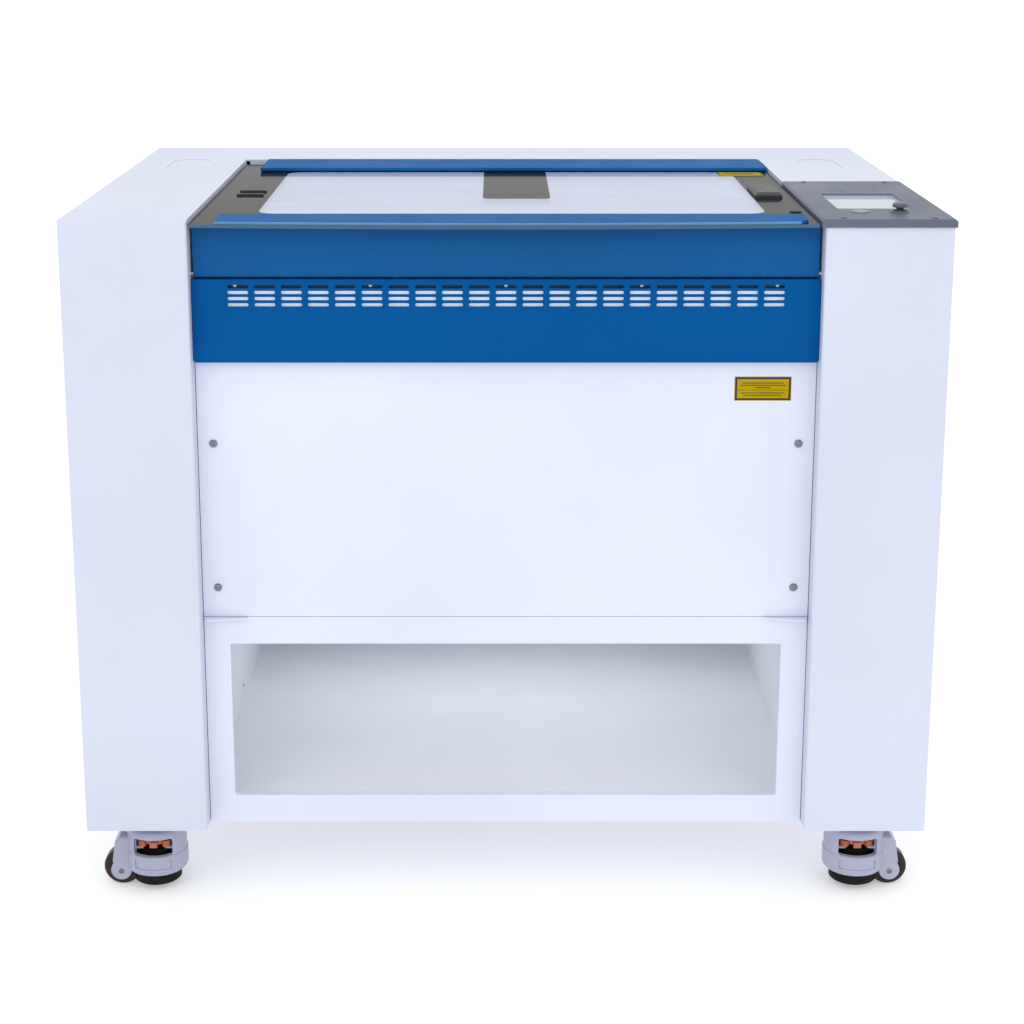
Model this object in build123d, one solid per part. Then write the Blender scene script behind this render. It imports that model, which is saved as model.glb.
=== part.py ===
from build123d import *
import math
import os

# Floor-standing laser cutter: two cabinet towers, a glazed lid between them, four levelling casters.
# Millimetres, +Z up, front faces -Y, origin on the floor under the centre of the cabinet.

os.makedirs("parts", exist_ok=True)

# Cabinet envelope
HALF_W = 660.0            # outer side face of a tower
TOWER_INNER = 469.5       # tower face that looks at the centre section
FRONT_Y = -480.0          # tower fronts
REAR_Y = 450.0
BOTTOM_Z = 120.0
CASING_TOP = 1087.0       # upper edge of the tower sheets
COVER_TOP = 1090.0
SHEET = 2.0

# Centre section, front
PANEL_Y = -445.0          # access panel and lower frame front faces
VENT_Y = -459.0           # vent panel front face
DOOR_Y = -454.0           # drop-down door front face
PANEL_HALF = 468.5
VENT_HALF = 469.0
DOOR_HALF = 466.0
SEAM_Z = 464.0            # lower frame to access panel
VENT_Z = (871.0, 998.0)
DOOR_Z = (1000.5, 1076.0)
DOOR_THICK = 18.0
DOOR_AXIS = (-450.0, 1005.5)      # Y, Z of the door hinge pins
DOOR_PIN_R = 2.5
BAY_OPENING = (429.0, 165.0, 419.5)   # half width, bottom, top
VENT_COLUMNS = 21
VENT_PITCH = 39.95
VENT_ROWS = (987.0, 978.0, 968.7, 959.3)
VENT_SLOT = (31.0, 5.0)

# Storage bay
BAY_HALF = 469.3
BAY_Y = (-428.0, 444.0)
BAY_Z = (144.0, 456.0)

# Side service panels of the towers: Y range, Z range, groove
SIDE_PANEL_Y = (-395.0, 365.0)
SIDE_PANEL_Z = (230.0, 960.0)
GROOVE = (1.6, 0.9)       # width, depth

# Work chamber
TUB_HALF = 525.0
TUB_Y = (-430.0, 320.0)
TUB_FLOOR = 700.0
TUB_RIM = 1075.0
PASS_THROUGH = (440.0, 1003.0, 1060.0)

# Lid
LID_X = (-467.0, 461.0)
LID_CORNER_Y = -483.0
LID_BOW_Y = -500.0
LID_BACK_Y = 232.0
GLASS_Z = (1079.0, 1084.0)
WINDOW_X = (-378.0, 396.0)
WINDOW_Y = (-375.0, 123.0)
WINDOW_R = 28.0
TONGUE_X = (-36.0, 72.0)
TONGUE_END_Y = -213.0
FRONT_BAR_X = (-429.0, 445.0)
FRONT_BAR_BACK = -408.0
REAR_BAR_X = (-429.0, 460.0)
REAR_BAR_Y = (122.0, 251.0)
REAR_BAR_TOP = 1092.0
LID_AXIS = (255.0, 1086.0)        # Y, Z of the lid hinge pins
LID_OPEN = 70.0
HINGE_X = (-350.0, 0.0, 350.0)
KNUCKLE_R = 2.8
HINGE_PIN_R = 1.5
RAIL_X = (445.0, 457.0)
RAIL_Z = (1063.0, 1079.0)
LOCK_AT = (438.0, -383.0)

# Gas struts
STRUT_X = 430.0
STRUT_ROOT = (150.0, 1064.0)      # Y, Z
STRUT_LID = (-150.0, 1066.0)      # Y, Z with the lid closed
STRUT_PIN_R = 4.0

# Motion system
GANTRY_Y = 270.0
GANTRY_RAIL_X = 500.0
CARRIAGE_X = -400.0
SHAFT_AT = (300.0, 1016.0)        # Y, Z of the drive shaft on the gantry
PINION_R = 7.0
TABLE_TOP = 975.0
SCREW_AT = (495.0, -70.0)
SCREW_R = 8.0
RUN = 0.05                # radial running clearance

# Control panel
CP_X = (463.5, 662.3)
CP_Y = (-483.0, -50.0)
CP_Z = (1079.0, 1091.0)
SCREEN_X = (503.0, 620.0)
SCREEN_Y = (-370.0, -202.0)
BUTTON_AT = (532.5, -401.0)
STICK_AT = (591.3, -406.0)
STICK_PIVOT_Z = 1082.0

# Casters
CASTER_X = 562.0
CASTER_Y = (-410.0, 380.0)
WHEEL_OUT = 55.0          # swivel axis to axle
WHEEL_R = 30.0
WHEEL_W = 24.0
DRUM_R = 48.0
DRUM_Z = (30.0, 105.8)
STEM_R = 7.0

# Rear services
EXHAUST_AT = (0.0, 790.0)         # X, Z
EXHAUST_R = 50.8
INLET_AT = (-565.0, 215.0)        # X, Z
SWITCH_Z = 246.0


# ---------------------------------------------------------------- helpers
def box(x0, x1, y0, y1, z0, z1):
    """Block between two corners."""
    centre = Pos((x0 + x1) / 2, (y0 + y1) / 2, (z0 + z1) / 2)
    return centre * Box(abs(x1 - x0), abs(y1 - y0), abs(z1 - z0))


def rod(start, end, radius):
    """Round bar between two points."""
    along = Vector(*end) - Vector(*start)
    return extrude(Plane(origin=start, z_dir=along) * Circle(radius), along.length)


def prism_z(sketch, z0, z1):
    """Sketch in X, Y raised between two heights."""
    return extrude(Pos(0, 0, z0) * sketch, z1 - z0)


def prism_y(sketch, y_back, thick):
    """Sketch in X, Z raised towards the front from y_back."""
    plane = Plane(origin=(0, y_back, 0), x_dir=(1, 0, 0), z_dir=(0, -1, 0))
    return extrude(plane * sketch, thick)


def flip(shape):
    """The same piece for the other side of the machine."""
    return mirror(shape, about=Plane.YZ)


def both(shape):
    return shape + flip(shape)


def screw(x, y_face, z, head_r, head_h, shank_r, shank):
    """Button-head screw driven into a face that looks to the front."""
    head = rod((x, y_face, z), (x, y_face - head_h, z), head_r)
    head = chamfer(head.edges().sort_by(Axis.Y)[0], head_h * 0.4)
    plane = Plane(origin=(x, y_face - head_h + head_r * 0.2, z), x_dir=(1, 0, 0), z_dir=(0, -1, 0))
    socket = extrude(plane * RegularPolygon(head_r * 0.42, 6), head_h)
    return head - socket + rod((x, y_face, z), (x, y_face + shank, z), shank_r)


# ---------------------------------------------------------------- cabinet
def tower_casing():
    """Left tower: front, outer side and inner side sheets folded from one blank."""
    outer = box(-HALF_W, -TOWER_INNER, FRONT_Y, REAR_Y, BOTTOM_Z, CASING_TOP)
    fronts = outer.edges().filter_by(Axis.Z).group_by(Axis.Y)[0]
    outer = fillet(fronts, 4)
    inner = box(-HALF_W + SHEET, -TOWER_INNER - SHEET, FRONT_Y + SHEET, REAR_Y + 1, 0, 1200)
    inner = fillet(inner.edges().filter_by(Axis.Z).group_by(Axis.Y)[0], 2)
    casing = outer - inner
    casing -= box(-473, -468, -432, REAR_Y + 1, 690, 1200)
    casing -= box(-473, -468, REAR_Y - SHEET, REAR_Y + 1, 0, 700)
    casing -= box(-473, -468, FRONT_Y + 5, REAR_Y + 1, 0, BOTTOM_Z + 3.2)
    casing -= rod((-480, DOOR_AXIS[0], DOOR_AXIS[1]), (-460, DOOR_AXIS[0], DOOR_AXIS[1]), DOOR_PIN_R)
    return casing - side_panel_cuts()


def side_panel_cuts():
    """Groove round the service panel on the tower's outer face, with its louvre slots."""
    (y0, y1), (z0, z1) = SIDE_PANEL_Y, SIDE_PANEL_Z
    width, depth = GROOVE
    face = Plane(origin=(-HALF_W, (y0 + y1) / 2, (z0 + z1) / 2), x_dir=(0, 1, 0), z_dir=(1, 0, 0))
    outer = RectangleRounded(y1 - y0, z1 - z0, 10)
    inner = RectangleRounded(y1 - y0 - 2 * width, z1 - z0 - 2 * width, 10 - width)
    cuts = extrude(face * (outer - inner), depth)
    slots = Sketch()
    for row in range(8):
        for col in range(5):
            slots += Pos(-260 + 58 * col, -290 + 15 * row) * SlotOverall(46, 5)
    return cuts + extrude(face * slots, 3 * SHEET)


def top_cover():
    """U-shaped top sheet: left tower top, rear strip, right tower top behind the control panel."""
    left = Pos((-HALF_W - TOWER_INNER) / 2, -15) * Rectangle(HALF_W - TOWER_INNER, 930)
    rear = Pos(0, 354) * Rectangle(2 * HALF_W, 192)
    right = Pos((464 + HALF_W) / 2, 200) * Rectangle(HALF_W - 464, 500)
    plan = left + rear + right
    sheet = prism_z(plan, CASING_TOP, COVER_TOP)
    rim = [e for e in sheet.edges().group_by(Axis.Z)[-1]
           if abs(abs(e.center().X) - HALF_W) < 1 or abs(e.center().Y - FRONT_Y) < 1
           or abs(e.center().Y - REAR_Y) < 1]
    sheet = fillet(rim, 2.4)
    for side in (-1, 1):
        finger = Pos(side * 565, 185) * SlotOverall(162, 65, rotation=90)
        sheet -= prism_z(finger, COVER_TOP - 1, COVER_TOP + 1)
    sheet -= box(-656, -472, -437.5, -436.7, COVER_TOP - 0.8, COVER_TOP + 1)
    sheet += box(-TOWER_INNER - SHEET, -TOWER_INNER, -427, 258, 1070, CASING_TOP)
    sheet += box(464, 466, -46, 258, 1070, CASING_TOP)
    sheet += box(-463, 463, 258, 260, 1060, CASING_TOP)
    return sheet


def base_pan():
    """Chassis floor plates with side rails and stiffening ribs, welded together."""
    parts = [box(-657.8, 657.8, -442.8, 447.8, 120, 123)]
    for side in (-1, 1):
        parts.append(box(side * 472, side * 657.8, -475.8, -442.8, 120, 123))
        parts.append(box(side * 655.8, side * 657.8, -470, 440, 123, 140))
    for y in (-300, -60, 180):
        parts.append(box(-460, 460, y, y + 3, 123, 143))
    return Compound(children=parts)


def rear_panel():
    """Back sheet with louvre slots and cut-outs for the duct, the inlet and the switch."""
    outline = Pos(0, (BOTTOM_Z + CASING_TOP) / 2) * Rectangle(1316, CASING_TOP - BOTTOM_Z)
    outline -= Pos(*EXHAUST_AT) * Circle(EXHAUST_R)
    outline -= Pos(INLET_AT[0], 226) * Rectangle(32, 78)
    for row in range(6):
        for col in range(8):
            outline -= Pos(130 + 36 * col, 486 + 16 * row) * SlotOverall(30, 6)
            outline -= Pos(-382 + 36 * col, 486 + 16 * row) * SlotOverall(30, 6)
    panel = prism_y(outline, REAR_Y, SHEET)
    outer = Pos(0, 385) * RectangleRounded(900, 430, 10)
    inner = Pos(0, 385) * RectangleRounded(896.8, 426.8, 8.4)
    plane = Plane(origin=(0, REAR_Y - GROOVE[1], 0), x_dir=(-1, 0, 0), z_dir=(0, 1, 0))
    return panel - extrude(plane * (outer - inner), 2)


def access_panel():
    """Screwed front panel with folded edges."""
    z0 = SEAM_Z + 0.4
    z1 = VENT_Z[0] - 0.4
    face = Pos(0, (z0 + z1) / 2) * Rectangle(2 * PANEL_HALF, z1 - z0)
    for x in (-445, 445):
        for z in (742, 512):
            face -= Pos(x, z) * Circle(2.6)
    panel = prism_y(face, PANEL_Y + SHEET, SHEET)
    rim = box(-PANEL_HALF, PANEL_HALF, PANEL_Y, PANEL_Y + 14, z0, z1)
    rim -= box(-PANEL_HALF + SHEET, PANEL_HALF - SHEET, PANEL_Y - 1, PANEL_Y + 15, z0 + SHEET, z1 - SHEET)
    for z in (560, 690):
        panel += box(-430, 430, PANEL_Y + SHEET, PANEL_Y + 12, z, z + 2)
    return panel + rim


def lower_front_frame():
    """Front frame of the storage bay with a folded lip round the opening and two finger tabs."""
    half, low, high = BAY_OPENING
    top = SEAM_Z - 0.4
    face = Pos(0, (BOTTOM_Z + top) / 2) * Rectangle(2 * PANEL_HALF, top - BOTTOM_Z)
    hole = Pos(0, (low + high) / 2) * RectangleRounded(2 * half, high - low, 4)
    ring = Pos(0, (low + high) / 2) * RectangleRounded(2 * half + 4, high - low + 4, 6)
    frame = prism_y(face - hole, PANEL_Y + SHEET, SHEET)
    frame += prism_y(ring - hole, PANEL_Y + 14, 14)
    frame += box(-PANEL_HALF, PANEL_HALF, PANEL_Y, PANEL_Y + 14, top - SHEET, top)
    frame += both(box(-PANEL_HALF, -PANEL_HALF + SHEET, PANEL_Y, PANEL_Y + 14, 124, top))
    tab = Polygon((401, -444), (401, -452), (459, -461), (463, -460.5), (466, -458), (467, -454),
                  (467, -444), align=None)
    tab = prism_z(tab, SEAM_Z - 2.4, SEAM_Z - 0.4)
    return frame + tab + flip(tab)


def vent_panel():
    """Blue slotted panel, folded back on all four edges."""
    z0, z1 = VENT_Z
    mid = (z0 + z1) / 2
    face = Pos(0, mid) * RectangleRounded(2 * VENT_HALF, z1 - z0, 5)
    core = Pos(0, mid) * RectangleRounded(2 * VENT_HALF - 4, z1 - z0 - 4, 3)
    slots = Sketch()
    for row in VENT_ROWS:
        for col in range(VENT_COLUMNS):
            x = (col - (VENT_COLUMNS - 1) / 2) * VENT_PITCH
            slots += Pos(x, row) * SlotOverall(*VENT_SLOT)
    skin = prism_y(face - slots, VENT_Y + SHEET, SHEET)
    skin = skin + prism_y(face - core, VENT_Y + 16, 16)
    front = skin.faces().sort_by(Axis.Y)[0]
    return chamfer(front.outer_wire().edges(), 0.8)


def vent_backing():
    """White baffle behind the lower three slot rows."""
    plate = box(-467, 467, -452, -450.5, 877, 983)
    return plate + box(-467, 467, -450.5, -444, 877, 879)


def vent_rail():
    """Dark bar behind the top slot row."""
    bar = box(-467, 467, -448, -446, 976, 992.6)
    for x in (-405, -202.5, 0, 202.5, 405):
        bar -= rod((x, -449, VENT_ROWS[0]), (x, -445, VENT_ROWS[0]), 1.25)
    return bar + box(-467, 467, -446, -436, 976, 978)


def storage_bay_liner():
    """Open-fronted steel box behind the lower frame."""
    (y0, y1), (z0, z1) = BAY_Y, BAY_Z
    shell = box(-BAY_HALF, BAY_HALF, y0, y1, z0, z1)
    inside = BAY_HALF - SHEET
    return shell - box(-inside, inside, y0 - 1, y1 - SHEET, z0 + SHEET, z1 - SHEET)


def chamber_tub():
    """Work chamber welded from five sheets: front pass-through, rear outlet, screw bearings, lock keeper."""
    y0, y1 = TUB_Y
    half, low, high = PASS_THROUGH
    inside = TUB_HALF - SHEET
    floor = box(-TUB_HALF, TUB_HALF, y0, y1, TUB_FLOOR - SHEET, TUB_FLOOR)
    for side in (-1, 1):
        x, y = side * SCREW_AT[0], SCREW_AT[1]
        floor += rod((x, y, TUB_FLOOR), (x, y, TUB_FLOOR + 8), 14)
        floor -= rod((x, y, TUB_FLOOR - 10), (x, y, TUB_FLOOR + 10), 5 + RUN)
    flank = box(-TUB_HALF, -inside, y0, y1, TUB_FLOOR, TUB_RIM)
    front = box(-inside, inside, y0, y0 + SHEET, TUB_FLOOR, TUB_RIM)
    front -= box(-half, half, y0 - 1, y0 + 3, low, high)
    front += box(428, 450, y0 + SHEET, -412, 1061, 1062.6)
    rear = box(-inside, inside, y1 - SHEET, y1, TUB_FLOOR, TUB_RIM)
    x, z = EXHAUST_AT
    rear -= rod((x, y1 - 3, z), (x, y1 + 1, z), EXHAUST_R - SHEET)
    return Compound(children=[floor, flank, flip(flank), front, rear])


def control_panel():
    """Bevelled cap plate of the right tower, with cut-outs, a stick cup and three shallow grooves."""
    body = box(CP_X[0], CP_X[1], CP_Y[0], CP_Y[1], CP_Z[0], CP_Z[1])
    body = chamfer(body.edges().group_by(Axis.Z)[-1], 3)
    body -= box(466.5, HALF_W + 0.1, FRONT_Y - 0.1, -53, CP_Z[0] - 1, CP_Z[1] - 3)
    body -= box(657.8, HALF_W + 0.1, -54, -49, CP_Z[0] - 1, CP_Z[1] - 3.4)
    cx = (SCREEN_X[0] + SCREEN_X[1]) / 2
    cy = (SCREEN_Y[0] + SCREEN_Y[1]) / 2
    well = Pos(cx, cy) * RectangleRounded(112, 163, 5)
    brim = Pos(cx, cy) * RectangleRounded(117, 168, 7)
    body -= prism_z(well, 1080, 1095)
    body -= loft([Pos(0, 0, 1089.2) * well, Pos(0, 0, CP_Z[1]) * brim])
    body -= prism_z(Pos(*BUTTON_AT) * Circle(11.5 + RUN), 1080, 1095)
    body -= prism_z(Pos(*STICK_AT) * Circle(10), 1080, 1095)
    cup = prism_z(Pos(*STICK_AT) * (Circle(14) - Circle(11.5)), 1076, 1088)
    for side in (-1, 1):
        x0 = STICK_AT[0] + side * 10
        cup -= rod((x0, STICK_AT[1], STICK_PIVOT_Z), (x0 + side * 3, STICK_AT[1], STICK_PIVOT_Z), 1.2 + RUN)
    body += cup
    for x0, y in ((560, -100), (565, -136), (518, -169)):
        body -= box(x0, 607, y - 0.8, y + 0.8, CP_Z[1] - 0.6, CP_Z[1] + 1)
    for x in (497.5, 632):
        for y in (-466, -66):
            body -= prism_z(Pos(x, y) * Circle(2.1), 1086, 1095)
    return body


def display():
    """Screen module clipped under the control panel opening."""
    cx = (SCREEN_X[0] + SCREEN_X[1]) / 2
    cy = (SCREEN_Y[0] + SCREEN_Y[1]) / 2
    module = prism_z(Pos(cx, cy) * Rectangle(126, 176), 1078.5, 1088)
    return module - prism_z(Pos(cx, cy) * RectangleRounded(112, 163, 5), 1086.4, 1090)


def case_fasteners():
    """Panel screws, bay screw and the two door hinge pins."""
    parts = []
    for x in (-445, 445):
        for z in (742, 512):
            parts.append(screw(x, PANEL_Y, z, 6, 3, 2.6, 8))
    for x in (-405, -202.5, 0, 202.5, 405):
        parts.append(screw(x, -448, VENT_ROWS[0], 3, 1.6, 1.25, 4))
    for x in (497.5, 632):
        for y in (-466, -66):
            head = prism_z(Pos(x, y) * Circle(4), CP_Z[1], CP_Z[1] + 1.8)
            head = chamfer(head.edges().group_by(Axis.Z)[-1], 0.7)
            head -= prism_z(Pos(x, y) * RegularPolygon(1.8, 6), CP_Z[1] + 0.6, CP_Z[1] + 3)
            parts.append(head + prism_z(Pos(x, y) * Circle(2.1), 1083, CP_Z[1]))
    parts.append(rod((-467.3, -26, 184), (-465.6, -26, 184), 3.5))
    y, z = DOOR_AXIS
    for side in (-1, 1):
        parts.append(rod((side * 456, y, z), (side * 474, y, z), DOOR_PIN_R))
    return Compound(children=parts)


def exhaust_port():
    """Duct from the chamber to a round spigot on the back."""
    x, z = EXHAUST_AT
    pipe = rod((x, 320, z), (x, 500, z), EXHAUST_R)
    flange = prism_y(Pos(x, z) * RectangleRounded(150, 150, 12), REAR_Y + 3, 3)
    return pipe + flange - rod((x, 319, z), (x, 501, z), EXHAUST_R - SHEET)


def laser_tube():
    """Finned metal laser source hung behind the chamber."""
    body = box(-380, 320, 345, 425, 905, 995)
    for i in range(9):
        z = 909 + i * 9.6
        body -= box(-370, 310, 340, 353, z, z + 5)
        body -= box(-370, 310, 417, 430, z, z + 5)
    body += rod((-380, 385, 950), (-430, 385, 950), 16)
    body += box(-470, -430, 362, 408, 925, 975)
    for x in (-300, 230):
        body += box(x, x + 30, 320, 425, 895, 905)
        body += box(x, x + 30, 320, 326, 870, 905)
    return body


def electronics_tray():
    """Tray with power supplies and drive box between the bay and the chamber."""
    tray = box(-430, 430, -380, 240, 456, 459)
    tray += box(-430, 430, -380, -378, 459, 475)
    for x in (-400, -220):
        unit = box(x, x + 150, -150, 140, 459, 560)
        for i in range(10):
            unit -= box(x + 12, x + 138, -130 + 26 * i, -122 + 26 * i, 556, 561)
        tray += unit
    tray += box(0, 160, -260, 120, 459, 520)
    tray += box(210, 390, -240, -20, 459, 463)
    for x in (225, 270, 315, 350):
        tray += box(x, x + 24, -200, -100, 463, 483)
    return tray


def y_rails():
    """Ledges with linear rails and toothed racks on both chamber sides, plus screw bearings."""
    ledge = box(490, 523, -425, 316, 976, 982)
    ledge += box(519, 523, -425, 316, 956, 976)
    ledge += box(492.5, 507.5, -424, 316, 982, 995)
    rack = box(514, 520, -424, 316, 982, SHAFT_AT[1] - PINION_R - 0.1)
    for i in range(73):
        y = -420 + i * 10
        rack -= box(513, 521, y, y + 5, 1007.6, 1010)
    ledge += rack
    bearing = box(482, 519, SCREW_AT[1] - 14, SCREW_AT[1] + 14, 966, 976)
    ledge += bearing
    ledge -= rod((SCREW_AT[0], SCREW_AT[1], 960), (SCREW_AT[0], SCREW_AT[1], 974.2), 5 + RUN)
    return ledge + flip(ledge)


def mains_inlet():
    """Power inlet socket with the switch surround above it."""
    x, z = INLET_AT
    plate = prism_y(Pos(x, 226) * RectangleRounded(44, 92, 5), REAR_Y + 2.5, 2.5)
    well = prism_y(Pos(x, 226) * Rectangle(32, 78), REAR_Y, 30)
    body = plate + well
    socket = Pos(x, 208) * RectangleRounded(24, 17, 4)
    body -= prism_y(socket, REAR_Y + 3, 20)
    for dx in (-7, 0, 7):
        body += box(x + dx - 1, x + dx + 1, 432, 446, 206, 212)
    body -= box(x - 12, x + 12, 432, 453, SWITCH_Z - 8, SWITCH_Z + 8)
    for side in (-1, 1):
        body -= rod((x + side * 11.5, 446, SWITCH_Z), (x + side * 13.5, 446, SWITCH_Z), 1.5 + RUN)
    return body


def power_switch():
    """Rocker on two short trunnions."""
    x = INLET_AT[0]
    pad = box(x - 11.5, x + 11.5, 442, 455, SWITCH_Z - 6, SWITCH_Z + 6)
    pad = fillet(pad.edges().filter_by(Axis.X), 1.4)
    return pad + rod((x - 13, 446, SWITCH_Z), (x + 13, 446, SWITCH_Z), 1.5)


def lid_support_brackets():
    """Fixed hinge leaves with pins, and the shelf brackets with the strut pins."""
    y, z = LID_AXIS
    parts = []
    for x in HINGE_X:
        leaf = box(x - 30, x + 30, y + 1, y + 3, 1062, 1082)
        for x0, x1 in ((x - 30, x - 14), (x + 14, x + 30)):
            leaf += rod((x0, y, z), (x1, y, z), KNUCKLE_R)
            leaf += box(x0, x1, y + 1, y + 3, 1080, z)
        pin = rod((x - 30, y, z), (x + 30, y, z), HINGE_PIN_R)
        parts.append(leaf - pin)
        parts.append(pin)
    py, pz = STRUT_ROOT
    for side in (-1, 1):
        arm = box(side * 438.5, side * 523, py - 12, py + 12, 1054.5, 1059)
        ear = box(side * 438.5, side * 442, py - 12, py + 12, 1054.5, 1073)
        pin = rod((side * 422, py, pz), (side * 442, py, pz), STRUT_PIN_R)
        head = rod((side * 420, py, pz), (side * 422, py, pz), STRUT_PIN_R + 2)
        parts.append(arm + ear + pin + head)
    return Compound(children=parts)


# ---------------------------------------------------------------- lid
def bowed_outline(x0, x1, inset, back, corner=0.0):
    """Plan outline with a bowed front edge set back from the glass edge, and a straight back."""
    mid = (LID_X[0] + LID_X[1]) / 2
    half = (LID_X[1] - LID_X[0]) / 2
    rise = LID_CORNER_Y - LID_BOW_Y

    def front(x):
        return LID_BOW_Y + inset + rise * ((x - mid) / half) ** 2

    centre = (x0 + x1) / 2
    if corner:
        arc = ThreePointArc((x0, front(x0)), (centre, front(centre)), (x1 - corner, front(x1 - corner)))
        cut = Line((x1 - corner, front(x1 - corner)), (x1, front(x1) + corner))
        edges = [arc, cut, Line((x1, front(x1) + corner), (x1, back))]
    else:
        arc = ThreePointArc((x0, front(x0)), (centre, front(centre)), (x1, front(x1)))
        edges = [arc, Line((x1, front(x1)), (x1, back))]
    edges += [Line((x1, back), (x0, back)), Line((x0, back), (x0, front(x0)))]
    return make_face(Curve() + edges)


def window_outline():
    cx = (WINDOW_X[0] + WINDOW_X[1]) / 2
    cy = (WINDOW_Y[0] + WINDOW_Y[1]) / 2
    pane = Pos(cx, cy) * Rectangle(WINDOW_X[1] - WINDOW_X[0], WINDOW_Y[1] - WINDOW_Y[0])
    pane = fillet(pane.vertices(), WINDOW_R)
    tx = (TONGUE_X[0] + TONGUE_X[1]) / 2
    length = WINDOW_Y[1] - TONGUE_END_Y + 40
    tongue = Pos(tx, TONGUE_END_Y + length / 2) * RectangleRounded(TONGUE_X[1] - TONGUE_X[0], length, 12)
    return pane - tongue


def lid_border():
    """Black-printed part of the lid glass."""
    sheet = prism_z(bowed_outline(LID_X[0], LID_X[1], 0, LID_BACK_Y), *GLASS_Z)
    sheet = fillet(sheet.edges().filter_by(Axis.Z), 6)
    sheet = chamfer(sheet.edges().group_by(Axis.Z)[-1], 0.8)
    sheet -= prism_z(window_outline(), GLASS_Z[0] - 1, GLASS_Z[1] + 1)
    return sheet - prism_z(Pos(*LOCK_AT) * Circle(6 + RUN), GLASS_Z[0] - 1, GLASS_Z[1] + 1)


def lid_window():
    """Clear part of the lid glass."""
    return prism_z(window_outline(), *GLASS_Z)


def lid_frame():
    """Rails bonded under the glass, moving hinge leaves and the strut studs."""
    outer = box(-RAIL_X[1], RAIL_X[1], -424, 230, RAIL_Z[0], RAIL_Z[1])
    inner = box(-RAIL_X[0], RAIL_X[0], -410, 216, 1000, 1100)
    frame = outer - inner
    y, z = LID_AXIS
    for x in HINGE_X:
        frame += box(x - 13.5, x + 13.5, y - 19, y, z - 4, z - 2)
        frame += rod((x - 13.5, y, z), (x + 13.5, y, z), KNUCKLE_R)
        frame -= rod((x - 14, y, z), (x + 14, y, z), HINGE_PIN_R + RUN)
        frame += box(x - 13.5, x + 13.5, 226, 240, RAIL_Z[1] - 5, RAIL_Z[1])
        frame += box(x - 13.5, x + 13.5, 232.2, 240, RAIL_Z[1] - 5, z - 2)
    qy, qz = STRUT_LID
    for side in (-1, 1):
        frame += box(side * 440, side * 446, qy - 12, qy + 12, qz - 7, RAIL_Z[1])
        frame += rod((side * 434.6, qy, qz), (side * 441, qy, qz), STRUT_PIN_R)
    return frame


def lid_front_bar():
    """Blue pull bar along the front of the lid."""
    bar = prism_z(bowed_outline(*FRONT_BAR_X, 4, FRONT_BAR_BACK, 12), GLASS_Z[1], GLASS_Z[1] + 5)
    return chamfer(bar.edges().group_by(Axis.Z)[-1], 0.8)


def lid_rear_bar():
    """Blue hinge bar along the back of the lid, hollow underneath."""
    x0, x1 = REAR_BAR_X
    y0, y1 = REAR_BAR_Y
    bar = box(x0, x1, y0, y1, GLASS_Z[1], REAR_BAR_TOP)
    corner = bar.edges().filter_by(Axis.Z).sort_by(lambda e: e.center().X - e.center().Y)[-1]
    bar = chamfer(corner, 8)
    bar = chamfer(bar.edges().group_by(Axis.Z)[-1], 1)
    bar -= box(x0 - 1, x1 + 1, y0 - 1, y0 + 10, GLASS_Z[1] - 1, GLASS_Z[1] + 3)
    return bar - box(x0 + 3, x1 - 3, y0 + 13, y1 - 3, GLASS_Z[1] - 1, REAR_BAR_TOP - 2.5)


def lid_fittings():
    """Camera pod under the glass, bevelled block and paired bars on top of it."""
    top = GLASS_Z[1]
    pod = box(-8, 44, -200, -130, 1059, GLASS_Z[0])
    pod = chamfer(pod.edges().group_by(Axis.Z)[0], 4)
    pod += rod((18, -165, 1057), (18, -165, 1060), 11)
    pod -= rod((18, -165, 1056), (18, -165, 1058.5), 7.5)
    block = box(400, 444, -200, -95, top, top + 8)
    block = chamfer(block.edges().group_by(Axis.Z)[-1], 4.5)
    bars = [box(-433, -390, y, y + 7, top, top + 3) for y in (-178, -135)]
    return Compound(children=[pod, block] + bars)


def lid_lock():
    """Quarter-turn lock: knob on the glass, barrel through it, cam below."""
    x, y = LOCK_AT
    knob = rod((x, y, GLASS_Z[1] + 0.1), (x, y, GLASS_Z[1] + 6), 9)
    knob = chamfer(knob.edges().group_by(Axis.Z)[-1], 1.2)
    knob -= box(x - 6, x + 6, y - 1, y + 1, GLASS_Z[1] + 4, GLASS_Z[1] + 8)
    barrel = rod((x, y, 1057), (x, y, GLASS_Z[1] + 1), 6)
    cam = box(x - 35, x, y - 6, y + 6, 1057, 1060.5)
    return knob + barrel + cam


def front_door():
    """Drop-down door: folded pan with pin bores in its ends."""
    z0, z1 = DOOR_Z
    back = DOOR_Y + DOOR_THICK
    outer = box(-DOOR_HALF, DOOR_HALF, DOOR_Y, back, z0, z1)
    outer = fillet(outer.edges().filter_by(Axis.Y).group_by(Axis.Z)[0], 6)
    outer = fillet(outer.faces().sort_by(Axis.Y)[0].outer_wire().edges(), 1.2)
    pan = outer - box(-DOOR_HALF + 14, DOOR_HALF - 14, DOOR_Y + 2, back + 1, z0 + 2, z1 - 2)
    pan += box(-DOOR_HALF + 14, DOOR_HALF - 14, back - 2, back, z1 - 14, z1 - 2)
    pan += box(-DOOR_HALF + 14, DOOR_HALF - 14, back - 2, back, z0 + 2, z0 + 12)
    y, z = DOOR_AXIS
    for side in (-1, 1):
        pan -= rod((side * 450, y, z), (side * 470, y, z), DOOR_PIN_R + RUN)
    return pan


# ---------------------------------------------------------------- gas struts
def strut_place(distance):
    """Point on the closed strut line at a distance from its fixed pin."""
    dy = STRUT_LID[0] - STRUT_ROOT[0]
    dz = STRUT_LID[1] - STRUT_ROOT[1]
    length = math.hypot(dy, dz)
    return (STRUT_ROOT[0] + dy / length * distance, STRUT_ROOT[1] + dz / length * distance)


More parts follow.
